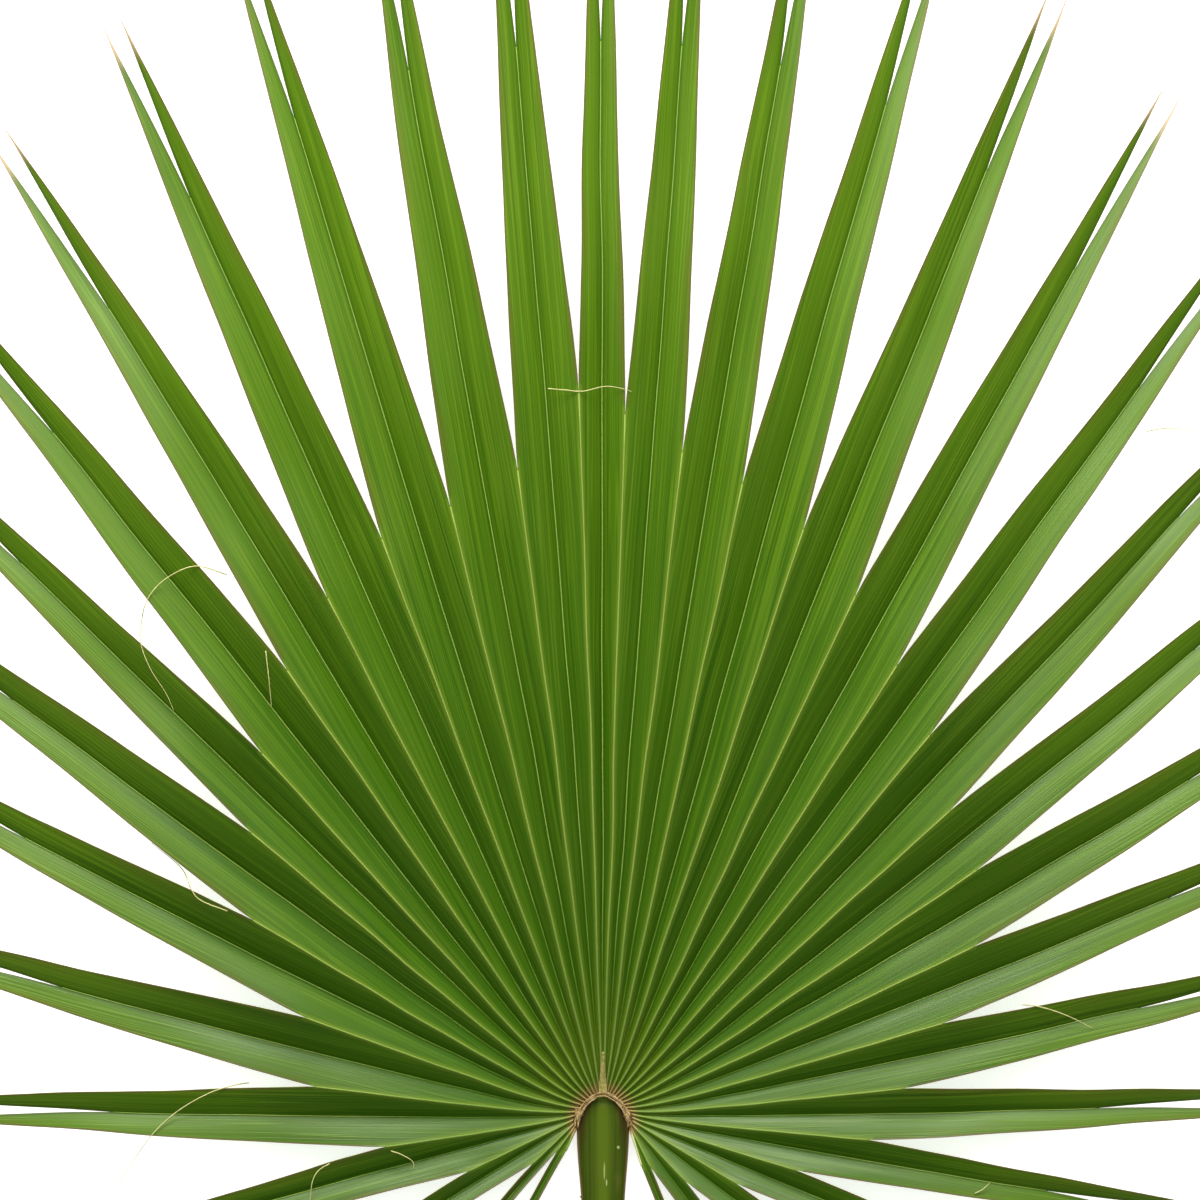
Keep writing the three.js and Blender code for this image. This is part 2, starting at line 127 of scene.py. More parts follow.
LEAF_THICKNESS = 0.5
PROFILE_ROUNDNESS = 0.3  # how much steeper a pleat is at its midrib than at its crest
SLOPE_VARIETY = 0.3  # how much a half segment's slope differs from the mean
SLOPE_EASE = 0.2  # how much gentler it is midway along a free half
SLOPE_BLEND = 0.25  # the share of the free length over which it takes hold
WAVINESS = 1.2  # height of the blade's slow undulations
WAVE_LENGTH = 55
FOLD_SWAY = 1.1  # how far a long fold or a midrib strays sideways
LONG_FOLD = 200
MARGIN_RIPPLE = 0.35
HAIR_WIDTH = 0.3  # what a tip is drawn out to
SHARP_ANGLE = 28

UNITED_ROWS = 30
FREE_ROWS = 20
SPLIT_ROWS = 15
ROW_CROWDING = 1.5  # gathers the joined rows near the rim
JOINED_ROWS = UNITED_ROWS + FREE_ROWS  # the rows that share one midrib
COLUMNS = np.array([0, 0.06, 0.17, 0.33, 0.5, 0.67, 0.83, 0.94, 1])
SEGMENT_SPACING = 60  # keeps the segments apart in the grain's UVs

# Radii of the ribs at the start, the stoutest and the end, and how far they are set off.
CREST_RIB, CREST_RIB_SINK = (0.4, 0.55, 0.35), 0.1
OUTERMOST_RIB_GROWTH = 1.3
MIDRIB_LINE, MIDRIB_LINE_RISE = (0.12, 0.36, 0.24), 0.2
KEEL, KEEL_DROP = (0.4, 0.95, 0.3), 0.45  # in its own radii
RIB_STATIONS = (0, 0.15, 0.5, 1)  # start, stoutest, thinner, end
RIB_THINNING = 0.85  # of the stoutest radius


def find_hub():
    """The hub's place in the row frame, in metres: midway across the crest, level with the surface."""
    crest_low, crest_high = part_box("hastula")
    stalk_low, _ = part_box("petiole")
    x = (crest_low.x + crest_high.x) / 2
    return np.array([x, stalk_low.y + STALK_LENGTH * MM, stalk_low.z])


HUB = find_hub()


# ---- The fan's plan ----

def smoothstep(value, low, high):
    t = np.clip((value - low) / (high - low), 0, 1)
    return t * t * (3 - 2 * t)


def wobble(x, y=0.0, z=0.0):
    """Smooth noise from -1 to 1 at a point of its own space."""
    return noise.noise(Vector((x, y, z)))


def from_bearing(bearing, distance):
    a = np.radians(bearing)
    return distance * np.array([np.sin(a), np.cos(a)])


def bearing_of(plan):
    return np.degrees(np.arctan2(plan[..., 0], plan[..., 1]))


def reach_at(bearing):
    frontness = (1 + np.cos(np.radians(bearing))) / 2
    return BLADE_REACH * (SHORTEST_SHARE + (1 - SHORTEST_SHARE) * frontness**REACH_FALL)


def split_share_at(bearing):
    return FRONT_SPLIT - SIDE_SPLIT_DROP * smoothstep(abs(bearing), *SPLIT_DROP_BEARINGS)


def fold_height(half_width, distance):
    gathered = HUB_FOLD * np.maximum(0, 1 - distance / HUB_FOLD_LENGTH)
    return half_width * np.tan(np.radians(FOLD_SLOPE)) + gathered


def midrib_height(plan):
    """The top of the midribs: they leave the rim, arch, and droop to the surface."""
    reach = reach_at(bearing_of(plan))
    span = reach - RIM_DISTANCE
    share = np.clip((np.linalg.norm(plan, axis=-1) - RIM_DISTANCE) / span, 0, 1)
    tip = TIP_CLEARANCE - fold_height(TIP_OFFSET, reach)
    return HUB_HEIGHT + (tip - HUB_HEIGHT) * share + ARCH_SHARE * span * 4 * share * (1 - share)


def habit_of(index):
    """A number from 0 to 1 that differs from one segment to the next."""
    golden_angle = 2.4
    return (1 + np.sin(golden_angle * index)) / 2


def rim_point(place):
    """The rim's plan, from its left foot (-1) over the crown (0) to its right foot (1)."""
    turn = np.abs(place) * np.pi / 2
    x = np.sign(place) * RIM_HALF_WIDTH * np.sin(turn) ** RIM_POINTEDNESS
    return np.stack([x, RIM_FOOT_Y + RIM_HEIGHT * np.cos(turn)], -1)


def fold_points(fold, shares):
    """Places along a fold from the rim (share 0) to its sinus (share 1), bowed outwards near the hub."""
    sinus, place = fold
    start = rim_point(np.array(place))
    along = sinus - start
    length = np.linalg.norm(along)
    bearing = np.arctan2(along[0], along[1])
    outward = np.array([np.cos(bearing), -np.sin(bearing)])
    bow = FOLD_BOW * np.sin(np.sign(bearing) * min(1.5 * abs(bearing), np.pi))
    rise = (1 - np.exp(-shares * length / FOLD_BOW_LENGTH)) * (1 - shares)
    sway = np.array([wobble(sinus[0] / 7, 6 * share) for share in shares]) * np.sin(np.pi * shares)
    sway *= FOLD_SWAY * min(1, (length / LONG_FOLD) ** 2)
    return start + np.outer(shares, along) + np.outer(bow * rise + sway, outward)


def side_plan(rows, sign):
    """One side's folds and the bearings of its tips, from the middle outwards."""
    places = (np.arange(len(rows)) + 1.5) / (len(rows) + 0.5)
    folds = [(from_bearing(sign * b, d), sign * p) for (_, b, d), p in zip(rows, places)]
    return folds, [sign * row[0] for row in rows]


def fan_plan():
    """The folds, as (sinus, place on the rim), and the bearings of the tips, from left to right."""
    left_folds, left_tips = side_plan(LEFT_SEGMENTS, -1)
    right_folds, right_tips = side_plan(RIGHT_SEGMENTS, 1)
    middle = [
        (from_bearing(*LEFT_SINUS), -0.5 / (len(LEFT_SEGMENTS) + 0.5)),
        (from_bearing(*RIGHT_SINUS), 0.5 / (len(RIGHT_SEGMENTS) + 0.5)),
    ]
    folds = left_folds[::-1] + middle + right_folds
    return folds, left_tips[::-1] + [MIDDLE_TIP] + right_tips


# ---- Mesh helpers ----

def add_object(name, data):
    piece = bpy.data.objects.new(name, data)
    bpy.context.collection.objects.link(piece)
    return piece


class Builder:
    """Collects one object's points (millimetres, from the hub), faces and corners' UVs."""

    def __init__(self, *layers):
        self.points, self.faces, self.slots = [], [], []
        self.layers = {name: [] for name in layers}

    def add(self, points):
        first = len(self.points)
        self.points.extend(map(tuple, points))
        return np.arange(first, len(self.points))

    def grid(self, ids, uvs, flip=False, closed=False, slot=0):
        """Faces over a grid of point ids; uvs holds one (rows, columns, 2) array for each layer."""
        rows, columns = ids.shape
        for r in range(rows - 1):
            for c in range(columns if closed else columns - 1):
                d = (c + 1) % columns
                corners = [(r, c), (r, d), (r + 1, d), (r + 1, c)]
                if flip:
                    corners.reverse()
                self.faces.append([int(ids[k]) for k in corners])
                self.slots.append(slot)
                for name, uv in zip(self.layers, uvs):
                    self.layers[name].extend(uv[k] for k in corners)

    def cap(self, ids, uv, slot=0):
        self.faces.append([int(i) for i in ids])
        self.slots.append(slot)
        for name in self.layers:
            self.layers[name].extend([uv] * len(ids))

    def build(self, name, materials, slot_name, replaced=()):
        mesh = bpy.data.meshes.new(name)
        place = HUB + np.array(self.points) * MM
        mesh.from_pydata(place.tolist(), [], self.faces)
        for layer, uv in self.layers.items():
            mesh.uv_layers.new(name=layer).data.foreach_set("uv", np.array(uv, float).ravel())
        mesh.polygons.foreach_set("material_index", self.slots)
        for material in materials:
            mesh.materials.append(material)
        mesh.polygons.foreach_set("use_smooth", [True] * len(mesh.polygons))
        mesh.update()
        piece = add_object(name, mesh)
        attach(piece, "root")
        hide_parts(*replaced)
        return piece


def path_distances(path):
    """The distance along a path at each of its points."""
    steps = np.linalg.norm(np.diff(path, axis=0), axis=1)
    return np.concatenate([[0], np.cumsum(steps)])


def tube_rings(path, radius, sides, flatness=1.0):
    """Rings round a path; radius has one number for each point, flatness squashes the height."""
    path = np.asarray(path, float)
    along = np.gradient(path, axis=0)
    along /= np.linalg.norm(along, axis=1)[:, None]
    across = np.cross(along, (0, 0, 1))
    across /= np.linalg.norm(across, axis=1)[:, None]
    up = np.cross(across, along)
    turn = (np.arange(sides) / sides * 2 * np.pi)[None, :, None]
    radius = np.broadcast_to(radius, len(path))[:, None, None]
    return path[:, None] + radius * (np.cos(turn) * across[:, None] + flatness * np.sin(turn) * up[:, None])


def add_tube(builder, path, radius, sides, flatness=1.0, slot=0):
    """A closed tube. Its UVs are the turn round it and the distance along it, in millimetres."""
    rings = tube_rings(path, radius, sides, flatness)
    ids = builder.add(rings.reshape(-1, 3)).reshape(rings.shape[:2])
    along = path_distances(path)
    uv = np.stack(np.meshgrid(np.linspace(0, 1, sides), along), -1)
    builder.grid(ids, [uv] * len(builder.layers), closed=True, slot=slot)
    builder.cap(ids[0][::-1], (0, 0), slot)
    builder.cap(ids[-1], (0, along[-1]), slot)


def smooth_path(points, step):
    """Places about a step apart on a smooth curve through the points."""
    points = np.asarray(points, float)
    padded = np.vstack([2 * points[0] - points[1], points, 2 * points[-1] - points[-2]])
    out = []
    for a, b, c, d in zip(padded, padded[1:], padded[2:], padded[3:]):
        count = max(2, int(np.linalg.norm(c - b) / step))
        t = np.linspace(0, 1, count, endpoint=False)[:, None]
        cubic = (3 * b - a - 3 * c + d) * t**3 + (2 * a - 5 * b + 4 * c - d) * t**2 + (c - a) * t
        out.append(b + cubic / 2)
    return np.vstack([*out, points[-1:]])


# ---- The blade ----

def united_shares():
    """Where the rows lie between the rim and a sinus."""
    return np.linspace(0, 1, UNITED_ROWS) ** ROW_CROWDING


def row_kinds():
    """0 where a segment is joined to its neighbours, 1 where it is free, 2 beyond its split."""
    return np.repeat([0.0, 1.0, 2.0], [UNITED_ROWS, FREE_ROWS, SPLIT_ROWS])


def bent_line(start, heading, tip, shares):
    """A midrib beyond the sinuses: its places, and the directions along and across it."""
    t = shares[:, None]
    control = start + heading * LINE_BEND * np.linalg.norm(tip - start)
    line = (1 - t) ** 2 * start + 2 * t * (1 - t) * control + t**2 * tip
    along = 2 * (1 - t) * (control - start) + 2 * t * (tip - control)
    along /= np.linalg.norm(along, axis=1)[:, None]
    across = np.stack([along[:, 1], -along[:, 0]], -1)
    return line, along, across


class Segment:
    """One segment's lines in plan: its midrib, and for each side its margin and the split's inner edge."""

    def __init__(self, index, folds, tip_bearing):
        self.index = index
        crests = [fold_points(fold, united_shares()) for fold in folds]
        self.root = (crests[0] + crests[1]) / 2
        start = self.root[-1]
        before = sum(fold_points(fold, np.array([0.5]))[0] for fold in folds) / 2
        self.heading = (start - before) / np.linalg.norm(start - before)
        self.place_rows(np.linalg.norm(start), tip_bearing)
        tip = from_bearing(tip_bearing, reach_at(tip_bearing))
        self.line, self.forward, self.across = bent_line(start, self.heading, tip, self.free_shares)
        self.sway_line()
        self.along = path_distances(np.vstack([self.root, self.line]))
        self.sides = {side: self.half(side, crest) for side, crest in zip((-1, 1), crests)}

    def place_rows(self, first, tip_bearing):
        """Shares of the way from the sinuses to the tip: where it splits, and where the rows lie."""
        reach = reach_at(tip_bearing)
        self.split = (split_share_at(tip_bearing) * reach - first) / (reach - first)
        free = np.linspace(0, self.split, FREE_ROWS + 1)[1:]
        parted = np.linspace(self.split, 1, SPLIT_ROWS + 1)[1:]
        self.free_shares = np.concatenate([free, parted])
        self.shares = np.concatenate([np.zeros(UNITED_ROWS), self.free_shares])

    def sway_line(self):
        t = self.free_shares[:, None]
        sway = np.array([[wobble(self.index * 2.3, 4 * share, 6)] for share in self.free_shares])
        self.line += FOLD_SWAY * sway * np.sin(np.pi * t) * self.across

    def half(self, side, crest):
        """Inner and outer edges in plan, with their distances square to the midrib."""
        t = self.free_shares
        square = np.array([self.heading[1], -self.heading[0]])
        united = np.abs((crest - self.root) @ square)
        lead = (crest[-1] - self.root[-1]) @ self.heading
        tip_offset = min(TIP_OFFSET, NARROW_GROWTH * united[-1])
        wide = tip_offset + (united[-1] - tip_offset) * (1 - t**MARGIN_TAPER)
        ripple = [wobble(self.index * 5.1 + side, 9 * share) for share in t]
        wide = wide + MARGIN_RIPPLE * np.array(ripple) * np.sqrt(t * (1 - t))
        opening = np.clip((t - self.split) / (1 - self.split), 0, 1) ** SPLIT_OPENING
        narrow = np.minimum(tip_offset * opening, wide - HAIR_WIDTH)
        ahead = (lead * (1 - t) ** 2)[:, None] * self.forward
        outer = self.line + side * wide[:, None] * self.across + ahead
        inner = self.line + side * narrow[:, None] * self.across + ahead * (narrow / wide)[:, None]
        return {
            "inner": np.vstack([self.root, inner]),
            "outer": np.vstack([crest, outer]),
            "narrow": np.concatenate([0 * united, narrow]),
            "wide": np.concatenate([united, wide]),
        }

    def lift(self, side):
        """How far this half stands over the common arch: a tip's own lift, and a part of one point's."""
        raised = TIP_LIFT * habit_of(self.index) * self.shares**2
        parted = np.clip((self.shares - self.split) / (1 - self.split), 0, 1)
        droop = max(0, side * np.sin(1.7 * self.index))
        return raised + POINT_DROOP * droop * parted**2


def crest_rises(segments):
    """For each fold, how far its crest stands over the midribs: shared by the halves that meet in it."""
    rises = []
    for j in range(len(segments) + 1):
        halves = [segment.sides[1] for segment in segments[max(j - 1, 0) : j]]
        halves += [segment.sides[-1] for segment in segments[j : j + 1]]
        width = np.mean([half["wide"][:UNITED_ROWS] for half in halves], axis=0)
        distance = np.linalg.norm(halves[0]["outer"][:UNITED_ROWS], axis=1)
        variety = [1 + SLOPE_VARIETY * share * wobble(j * 3.7, 2 * share) for share in united_shares()]
        rises.append(fold_height(width, distance) * np.array(variety))
    return rises


def outer_rise(segment, side, crest_rise):
    """For each row, how far a half's outer edge stands over its midrib."""
    wide = segment.sides[side]["wide"]
    t = segment.shares
    own = np.array([1 + SLOPE_VARIETY * wobble(segment.index * 7.3 + side * 2.1, 2.5 * s) for s in t])
    own *= 1 - SLOPE_EASE * np.sin(np.pi * t)
    free = wide * np.tan(np.radians(FOLD_SLOPE)) * own
    joined = np.concatenate([crest_rise, np.full(len(t) - UNITED_ROWS, crest_rise[-1])])
    joined = joined * wide / np.where(t > 0, wide[UNITED_ROWS - 1], wide)
    blend = smoothstep(t, 0, SLOPE_BLEND)
    return joined * (1 - blend) + free * blend


def half_surface(segment, side, crest_rise):
    """Points (rows, columns, 3) of half a segment, and the UVs that say where each one is on the leaf."""
    half = segment.sides[side]
    u = COLUMNS[None, :, None]
    plan = half["inner"][:, None] * (1 - u) + half["outer"][:, None] * u
    narrow, wide = half["narrow"][:, None], half["wide"][:, None]
    width = narrow + (wide - narrow) * COLUMNS
    part = width / wide
    profile = part * (1 + PROFILE_ROUNDNESS) - PROFILE_ROUNDNESS * part**2
    rise = outer_rise(segment, side, crest_rise)[:, None] * profile
    height = midrib_height(plan) + rise + segment.lift(side)[:, None]
    points = np.concatenate([plan, height[..., None]], -1)
    undulate(points)
    along = np.broadcast_to(segment.along[:, None], width.shape)
    kind = np.broadcast_to(row_kinds()[:, None], width.shape)
    layers = [
        np.stack([side * width + SEGMENT_SPACING * segment.index, along], -1),
        np.stack([wide - width, width - narrow], -1),
        np.stack([np.linalg.norm(plan, axis=-1) / reach_at(bearing_of(plan)), kind], -1),
    ]
    return points, layers


def undulate(points):
    """Slow undulations of the whole blade, fading out at the hub and the tips."""
    for point in points.reshape(-1, 3):
        distance = np.hypot(point[0], point[1])
        share = min(distance / reach_at(bearing_of(point)), 1)
        calm = 4 * share * (1 - share)
        point[2] += WAVINESS * calm * wobble(point[0] / WAVE_LENGTH, point[1] / WAVE_LENGTH)


def build_blade(segments, materials):
    """The pleated sheet. Neighbours share their crests, and the two halves of a segment its midrib."""
    rises = crest_rises(segments)
    builder = Builder("grain", "edges", "place")
    crest_ids = [None] * (len(segments) + 1)
    lines = {"crests": [None] * (len(segments) + 1), "midribs": []}
    for segment in segments:
        midrib_ids = None
        for side in (-1, 1):
            fold = segment.index + (side > 0)
            points, uvs = half_surface(segment, side, rises[fold])
            ids = builder.add(points.reshape(-1, 3)).reshape(points.shape[:2])
            if crest_ids[fold] is None:
                crest_ids[fold] = ids[:UNITED_ROWS, -1].copy()
                lines["crests"][fold] = points[:UNITED_ROWS, -1]
            if midrib_ids is None:
                midrib_ids = ids[:JOINED_ROWS, 0].copy()
                lines["midribs"].append(points[:JOINED_ROWS, 0])
            ids[:UNITED_ROWS, -1] = crest_ids[fold]
            ids[:JOINED_ROWS, 0] = midrib_ids
            builder.grid(ids, uvs, flip=side < 0)
    blade = builder.build("blade_sheet", materials, "blade", ["blade"])
    clean_loose_points(blade.data)
    thicken(blade)
    return blade, lines


def clean_loose_points(mesh):
    """Drops the points that sharing left unused."""
    shape = bmesh.new()
    shape.from_mesh(mesh)
    loose = [v for v in shape.verts if not v.link_faces]
    bmesh.ops.delete(shape, geom=loose, context="VERTS")
    shape.to_mesh(mesh)
    shape.free()


def thicken(blade):
    """Gives the sheet its thickness, back and dry margins, and keeps its folds crisp."""
    bpy.context.view_layer.objects.active = blade
    solid = blade.modifiers.new("thickness", "SOLIDIFY")
    solid.thickness = LEAF_THICKNESS * MM
    solid.offset = -1
    solid.material_offset = 1
    solid.material_offset_rim = 2
    evaluated = blade.evaluated_get(bpy.context.evaluated_depsgraph_get())
    mesh = bpy.data.meshes.new_from_object(evaluated)
    blade.modifiers.clear()
    blade.data = mesh
    mesh.set_sharp_from_angle(angle=np.radians(SHARP_ANGLE))


def rib_radius(line, radii):
    """A rib's radius along a line: it swells soon after its start, then thins out to its end."""
    start, stoutest, end = radii
    share = np.linspace(0, 1, len(line))
    return np.interp(share, RIB_STATIONS, [start, stoutest, stoutest * RIB_THINNING, end])


def build_ribs(lines, crest_materials, midrib_material, keel_material):
    """The ribs on the crests (the last one pale), the lines along the midribs and their keels."""
    crests, midribs, keels = Builder("round"), Builder("round"), Builder("round")
    last = len(lines["crests"]) - 1
    for j, line in enumerate(lines["crests"]):
        radius = rib_radius(line, CREST_RIB) * (OUTERMOST_RIB_GROWTH if j in (0, last) else 1)
        add_tube(crests, line - (0, 0, CREST_RIB_SINK), radius, 8, slot=int(j == last))
    for line in lines["midribs"]:
        add_tube(midribs, line + (0, 0, MIDRIB_LINE_RISE), rib_radius(line, MIDRIB_LINE), 6)
        stout = rib_radius(line, KEEL)
        drop = np.stack([0 * stout, 0 * stout, LEAF_THICKNESS + KEEL_DROP * stout], -1)
        add_tube(keels, line - drop, stout, 8)
    crests.build("crest_ribs", crest_materials, "blade")
    midribs.build("midrib_lines", [midrib_material], "blade")
    keels.build("midrib_keels", [keel_material], "blade")


# ---- The stalk ----

RIM_GAP = 0.3  # how far the stalk's head keeps inside the rim
WIDENING_LENGTH = 45  # over which the stalk widens towards the hub
HEAD_DROP = 0.15  # how much lower the head is, as a share of the height
HEAD_TURN = 1.53  # how far the last rings go round the rim's curve, in radians
SHOULDER = 0.79  # height of the stalk's edges, as a share of its height
STALK_RINGS, HEAD_RINGS = 90, 16
SIDE_SWAY, TOP_SWAY = 0.25, 0.18
CUT_SHRINK, CUT_DEPTH = (0.93, 1, 0.9), 0.35  # the cut face within the skin's edge
FIRST_TEETH = {-1: -39.0, 1: -56.0}  # the first tooth's y on each side
TOOTHLESS_END = 14
TOOTH_GROWTH = 180  # the length over which the teeth grow
TOOTH_GAP, TOOTH_GAP_VARIETY = 15, 14
TOOTH_ROUTE = [(0, 0, 0), (1.3, 0.3, 0.15), (2.4, 1.0, 0.5), (3.1, 2.1, 1.0)]
TOOTH_RADII, TOOTH_TAPER, TOOTH_FLATNESS = (1.5, 0.12), 1.2, 0.6
TOOTH_SIZE, TOOTH_VARIETY, TOOTH_INSET = 0.55, 0.35, 0.5
TOOTH_NEAR_SHARE = 0.6  # size beside the hub

# One side of the stalk's section, as shares of its half width and height, from foot to crown.
STALK_SIDE = [
    (0.16, 0), (0.42, 0.04), (0.66, 0.16), (0.86, 0.38), (0.975, 0.62), (1, SHOULDER),
    (0.94, 0.93), (0.8, 0.985), (0.55, 0.955), (0.2, 0.93),
]


def stalk_half_width(y):
    clear = RIM_HALF_WIDTH - RIM_GAP
    below = clear + (STALK_HALF_WIDTH - clear) * smoothstep(RIM_FOOT_Y - y, 0, WIDENING_LENGTH)
    up = np.clip((y - RIM_FOOT_Y) / (RIM_HEIGHT - RIM_GAP), 0, 1)
    above = clear * np.maximum(0, 1 - up * up) ** (RIM_POINTEDNESS / 2)
    return np.where(y < RIM_FOOT_Y, below, above)


def stalk_section():
    side = np.array(STALK_SIDE)
    whole = np.vstack([side, side[::-1] * (-1, 1)])
    loop = np.vstack([whole, whole[:1]])
    return smooth_path(loop, 0.08)[:-1]


def build_stalk(skin, cut, tooth):
    """The stalk, from its cut end to the head that fills the rim, and its teeth."""
    builder = Builder("round")
    section = stalk_section()
    head = RIM_FOOT_Y + (RIM_HEIGHT - RIM_GAP) * np.sin(np.linspace(0, HEAD_TURN, HEAD_RINGS))
    y = np.concatenate([np.linspace(-STALK_LENGTH, RIM_FOOT_Y, STALK_RINGS, endpoint=False), head])
    sway = np.array([[SIDE_SWAY * wobble(v / 40, 3), TOP_SWAY * wobble(v / 25, 9)] for v in y])
    height = STALK_HEIGHT * (1 - HEAD_DROP * smoothstep(y, 4, 10))
    rings = np.empty((len(y), len(section), 3))
    rings[..., 0] = section[:, 0] * stalk_half_width(y)[:, None] + sway[:, :1]
    rings[..., 1] = y[:, None]
    rings[..., 2] = section[:, 1] * height[:, None] + sway[:, 1:] * section[:, 1]
    ids = builder.add(rings.reshape(-1, 3)).reshape(rings.shape[:2])
    around = np.broadcast_to(section[:, 0], rings.shape[:2])
    uv = np.stack([around, np.broadcast_to(y[:, None], rings.shape[:2])], -1)
    builder.grid(ids, [uv], closed=True, flip=True)
    builder.cap(ids[-1][::-1], (0, y[-1]))
    add_cut_end(builder, rings[0])
    add_teeth(builder)
    builder.build("stalk", [skin, cut, tooth], "petiole", ["petiole"])


def add_cut_end(builder, ring):
    """The pale cut face, slightly sunk."""
    centre = ring.mean(0)
    inner = centre + (ring - centre) * CUT_SHRINK + (0, CUT_DEPTH, 0)
    hollow = np.stack([ring, inner])
    ids = builder.add(hollow.reshape(-1, 3)).reshape(hollow.shape[:2])
    builder.grid(ids, [np.zeros((*hollow.shape[:2], 2))], closed=True, slot=1)
    builder.cap(ids[1], (0, 0), slot=1)


def add_teeth(builder):
    """Small hooked thorns along both edges, larger towards the cut end."""
    for side, y in FIRST_TEETH.items():
        count = 0
        while y > TOOTHLESS_END - STALK_LENGTH:
            grown = TOOTH_NEAR_SHARE + (1 - TOOTH_NEAR_SHARE) * min(-y / TOOTH_GROWTH, 1)
            size = (TOOTH_SIZE + TOOTH_VARIETY * habit_of(count + side)) * grown
            edge = side * (stalk_half_width(np.array(y)) - TOOTH_INSET)
            root = np.array([edge, y, SHOULDER * STALK_HEIGHT])
            path = smooth_path(root + np.array(TOOTH_ROUTE) * (side, 1, 1) * size, 0.5)
            radius = np.linspace(*TOOTH_RADII, len(path)) ** TOOTH_TAPER * size
            add_tube(builder, path, radius, 8, flatness=TOOTH_FLATNESS, slot=2)
            y -= TOOTH_GAP + TOOTH_GAP_VARIETY * habit_of(3 * count + side)
            count += 1


# ---- The crest ----

CREST_SEED = 7
BAND_RADIUS = 0.8
BAND_LUMPS = 0.4  # height of its lumps
LUMP_SWELL = 0.2  # what a lump adds to its radius
FEET_SHRINK, FEET_PLACES = 0.4, (0.86, 0.95)
SHOULDER_SWELL = 1.3  # what the band gains where the torn fibres gather
SHOULDER_PLACE, SHOULDER_SPREAD = 0.75, 0.12
EDGE_STRANDS = (-0.95, 0.7)  # offsets of the two long strands
EDGE_STRAND_END, EDGE_STRAND_RADIUS = 0.97, 0.36
SHORT_STRANDS = 46
STRAND_START, STRAND_LENGTH = (-1, 0.75), (0.12, 0.5)  # along the rim
STRAND_OFFSET, STRAND_RADIUS = (-1.2, 1.2), (0.12, 0.24)
KNOT_PLACE = 0.77
KNOT_STRANDS = 14
KNOT_REACH, KNOT_CURL, KNOT_RADIUS = (1.2, 2.6), 0.9, (0.22, 0.45)
KNOT_SPREAD = [(-0.7, 0.7), (-1.6, 1.6), (-0.5, 0.6)]
KNOT_RISE = 1.3
TONGUE_LENGTH = 20
TONGUE_RADIUS, TONGUE_TIP_RADIUS, TONGUE_EDGE_RADIUS = 1.5, 0.3, 0.32
TONGUE_ROOT = 1.5  # how far inside the crown it starts
TONGUE_RISE = 1.7  # over the midribs


def crest_line(places, height):
    plan = rim_point(places)
    return np.concatenate([plan, np.broadcast_to(height, len(places))[:, None]], -1)


def build_crest(band, strand, tongue):
    """The torn rim: a lumpy band, strands along it, knots at its feet, and the tongue."""
    builder = Builder("round")
    add_band(builder)
    rng = np.random.default_rng(CREST_SEED)
    for offset in EDGE_STRANDS:
        add_strand(builder, rng, -EDGE_STRAND_END, EDGE_STRAND_END, offset, EDGE_STRAND_RADIUS)
    for _ in range(SHORT_STRANDS):
        start = rng.uniform(*STRAND_START)
        end = min(1, start + rng.uniform(*STRAND_LENGTH))
        offset = rng.uniform(*STRAND_OFFSET)
        add_strand(builder, rng, start, end, offset, rng.uniform(*STRAND_RADIUS))
    for side in (-1, 1):
        add_knot(builder, rng, side)
    add_tongue(builder)
    builder.build("crest", [band, strand, tongue], "hastula", ["hastula"])


def add_band(builder):
    places = np.linspace(-1, 1, 90)
    lumps = np.array([wobble(11 * p, 5) + 0.6 * wobble(31 * p, 8) for p in places])
    shoulders = np.exp(-(((np.abs(places) - SHOULDER_PLACE) / SHOULDER_SPREAD) ** 2))
    line = crest_line(places, STALK_HEIGHT + 0.1 + BAND_LUMPS * lumps + 0.1 * shoulders)
    thin_feet = FEET_SHRINK * smoothstep(np.abs(places), *FEET_PLACES)
    swelling = (SHOULDER_SWELL + 0.5 * lumps) * shoulders
    add_tube(builder, line, BAND_RADIUS - thin_feet + LUMP_SWELL * lumps + swelling, 12, flatness=0.75)


def add_strand(builder, rng, start, end, offset, radius):
    """One fibre laid along the rim, at an offset outwards from its middle."""
    places = np.linspace(start, end, 12 + int(30 * (end - start)))
    line = crest_line(places, STALK_HEIGHT + rng.uniform(0.7, 1.5))
    outward = line[:, :2] - (0, RIM_FOOT_Y)
    outward /= np.linalg.norm(outward, axis=1)[:, None]
    stray = np.array([[wobble(9 * p, offset * 7)] for p in places])
    line[:, :2] += outward * (offset + 0.35 * stray)
    line[:, 2] += 0.3 * np.array([wobble(7 * p, offset * 3, 4) for p in places])
    add_tube(builder, line, radius, 6, slot=1)


def add_knot(builder, rng, side):
    """The tangle of torn fibre ends over a shoulder of the stalk."""
    centre = crest_line(np.array([side * KNOT_PLACE]), STALK_HEIGHT + KNOT_RISE)[0]
    for _ in range(KNOT_STRANDS):
        turn = rng.uniform(0, 2 * np.pi)
        reach = rng.uniform(*KNOT_REACH)
        along = np.array([0.45 * np.cos(turn), np.sin(turn), 0])
        curl = np.array([-along[1], along[0], 0]) * rng.uniform(-KNOT_CURL, KNOT_CURL)
        middle = centre + [rng.uniform(*limits) for limits in KNOT_SPREAD]
        route = [middle - along * reach, middle + curl + (0, 0, 0.5), middle + along * reach]
        path = smooth_path(route, 0.4)
        end_taper = 1 - 0.6 * np.abs(np.linspace(-1, 1, len(path))) ** 3
        add_tube(builder, path, rng.uniform(*KNOT_RADIUS) * end_taper, 6, slot=1)


